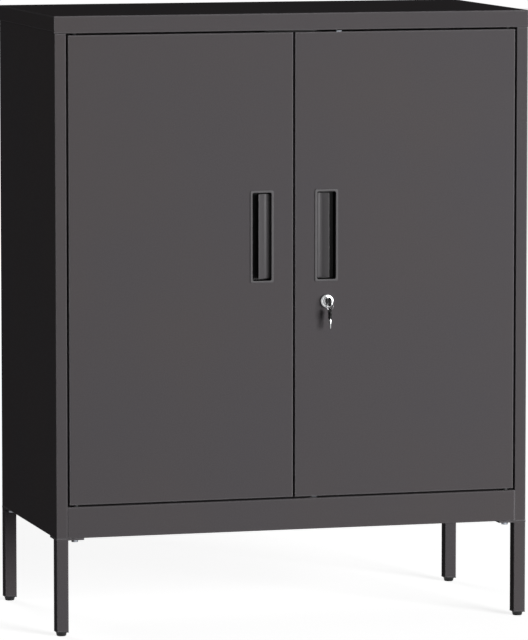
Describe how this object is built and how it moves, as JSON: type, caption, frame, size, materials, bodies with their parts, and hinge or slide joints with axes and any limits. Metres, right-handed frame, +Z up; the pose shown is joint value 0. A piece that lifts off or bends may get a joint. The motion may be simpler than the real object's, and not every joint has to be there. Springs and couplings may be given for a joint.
{
  "type": "storage cabinet",
  "caption": "Steel storage cabinet on square legs, with a pair of hinged doors, recessed finger handles, a bar lock with keys and adjustable shelves inside.",
  "frame": {"origin": "on the floor, under the middle of the cabinet's width and depth", "axes": "+Z up, -Y out of the doors, +X to the right of someone who faces the doors"},
  "size_m": [0.8, 0.4277, 1.005],
  "materials": {
    "grey_powder_coat": "fine satin powder coat on folded sheet steel",
    "black_plastic": "fine-grained black moulding",
    "handle_plastic": "black moulding, painted grey on its front",
    "black_oxide_steel": "black oxide, satin",
    "key_plastic": "smooth black moulded key head",
    "bright_nickel": "polished nickel or chrome plate",
    "zinc_plated_steel": "bright zinc plate",
    "nylon": "natural nylon",
    "rubber": "black rubber",
    "ferrite": "bare ferrite pole faces"
  },
  "bodies": {
    "cabinet": {"top_panel": "grey_powder_coat", "left_side_panel": "grey_powder_coat", "right_side_panel": "grey_powder_coat", "back_panel": "grey_powder_coat", "floor_panel": "grey_powder_coat", "bottom_rail": "grey_powder_coat", "door_stop": "zinc_plated_steel", "left_front_upright": "grey_powder_coat", "left_rear_upright": "grey_powder_coat", "right_front_upright": "grey_powder_coat", "right_rear_upright": "grey_powder_coat", "upper_shelf": "grey_powder_coat", "lower_shelf": "grey_powder_coat", "upper_shelf_clips": "zinc_plated_steel", "lower_shelf_clips": "zinc_plated_steel", "front_left_leg": "grey_powder_coat", "front_right_leg": "grey_powder_coat", "rear_left_leg": "grey_powder_coat", "rear_right_leg": "grey_powder_coat", "front_left_foot": "black_plastic", "front_right_foot": "black_plastic", "rear_left_foot": "black_plastic", "rear_right_foot": "black_plastic", "leg_bolts": "zinc_plated_steel", "leg_nuts": "zinc_plated_steel", "back_screws": "zinc_plated_steel", "upper_hinge_bushes": "black_plastic", "lower_hinge_bushes": "black_plastic", "catch_case": "black_plastic", "catch_magnets": "ferrite", "catch_screws": "zinc_plated_steel", "door_buffers": "rubber"},
    "left_door": {"left_door_panel": "grey_powder_coat", "left_door_stiffener": "grey_powder_coat", "left_handle": "handle_plastic", "left_upper_pin": "black_oxide_steel", "left_lower_pin": "black_oxide_steel"},
    "right_door": {"right_door_panel": "grey_powder_coat", "right_door_stiffener": "grey_powder_coat", "right_handle": "handle_plastic", "right_upper_pin": "black_oxide_steel", "right_lower_pin": "black_oxide_steel", "lock_body": "bright_nickel", "lock_nut": "zinc_plated_steel", "upper_bar_guides": "nylon", "lower_bar_guides": "nylon"},
    "lock_cylinder": {"lock_plug": "bright_nickel", "lock_crank": "zinc_plated_steel", "crank_studs": "zinc_plated_steel", "crank_screw": "zinc_plated_steel"},
    "upper_bar": {"upper_lock_bar": "zinc_plated_steel"},
    "lower_bar": {"lower_lock_bar": "zinc_plated_steel"},
    "key": {"key_blade": "bright_nickel", "key_bow": "key_plastic"},
    "key_ring": {"key_ring": "bright_nickel"},
    "spare_key": {"spare_key_blade": "bright_nickel", "spare_key_bow": "key_plastic"}
  },
  "joints": [
    {"name": "left_door_hinge", "type": "hinge", "parent": "cabinet", "child": "left_door", "pos_m": [-0.365, -0.193, 0.594], "axis": [0, 0, -1], "range_deg": [0, 110]},
    {"name": "right_door_hinge", "type": "hinge", "parent": "cabinet", "child": "right_door", "pos_m": [0.365, -0.193, 0.594], "axis": [0, 0, 1], "range_deg": [0, 110]},
    {"name": "lock_turn", "type": "hinge", "parent": "right_door", "child": "lock_cylinder", "pos_m": [0.0555, -0.2, 0.5349], "axis": [0, -1, 0], "range_deg": [0, 90]},
    {"name": "upper_bar_slide", "type": "slide", "parent": "right_door", "child": "upper_bar", "axis": [0, 0, 1], "range_m": [0, 0.02404]},
    {"name": "lower_bar_slide", "type": "slide", "parent": "right_door", "child": "lower_bar", "axis": [0, 0, -1], "range_m": [0, 0.02414]},
    {"name": "key_pull", "type": "slide", "parent": "lock_cylinder", "child": "key", "axis": [0, -1, 0], "range_m": [0, 0.03]},
    {"name": "key_ring_swing", "type": "hinge", "parent": "key", "child": "key_ring", "pos_m": [0.0555, -0.219, 0.52996], "axis": [0, -1, 0], "range_deg": [-90, 0]},
    {"name": "spare_key_swing", "type": "hinge", "parent": "key_ring", "child": "spare_key", "pos_m": [0.0555, -0.219, 0.52231], "axis": [-1, 0, 0], "range_deg": [-25, 60]}
  ],
  "couplings": [
    {"joint": "lock_turn", "follows": "upper_bar_slide", "rad_per_m": 65.336},
    {"joint": "lower_bar_slide", "follows": "upper_bar_slide", "ratio": 1},
    {"joint": "key_ring_swing", "follows": "upper_bar_slide", "rad_per_m": -65.336}
  ]
}
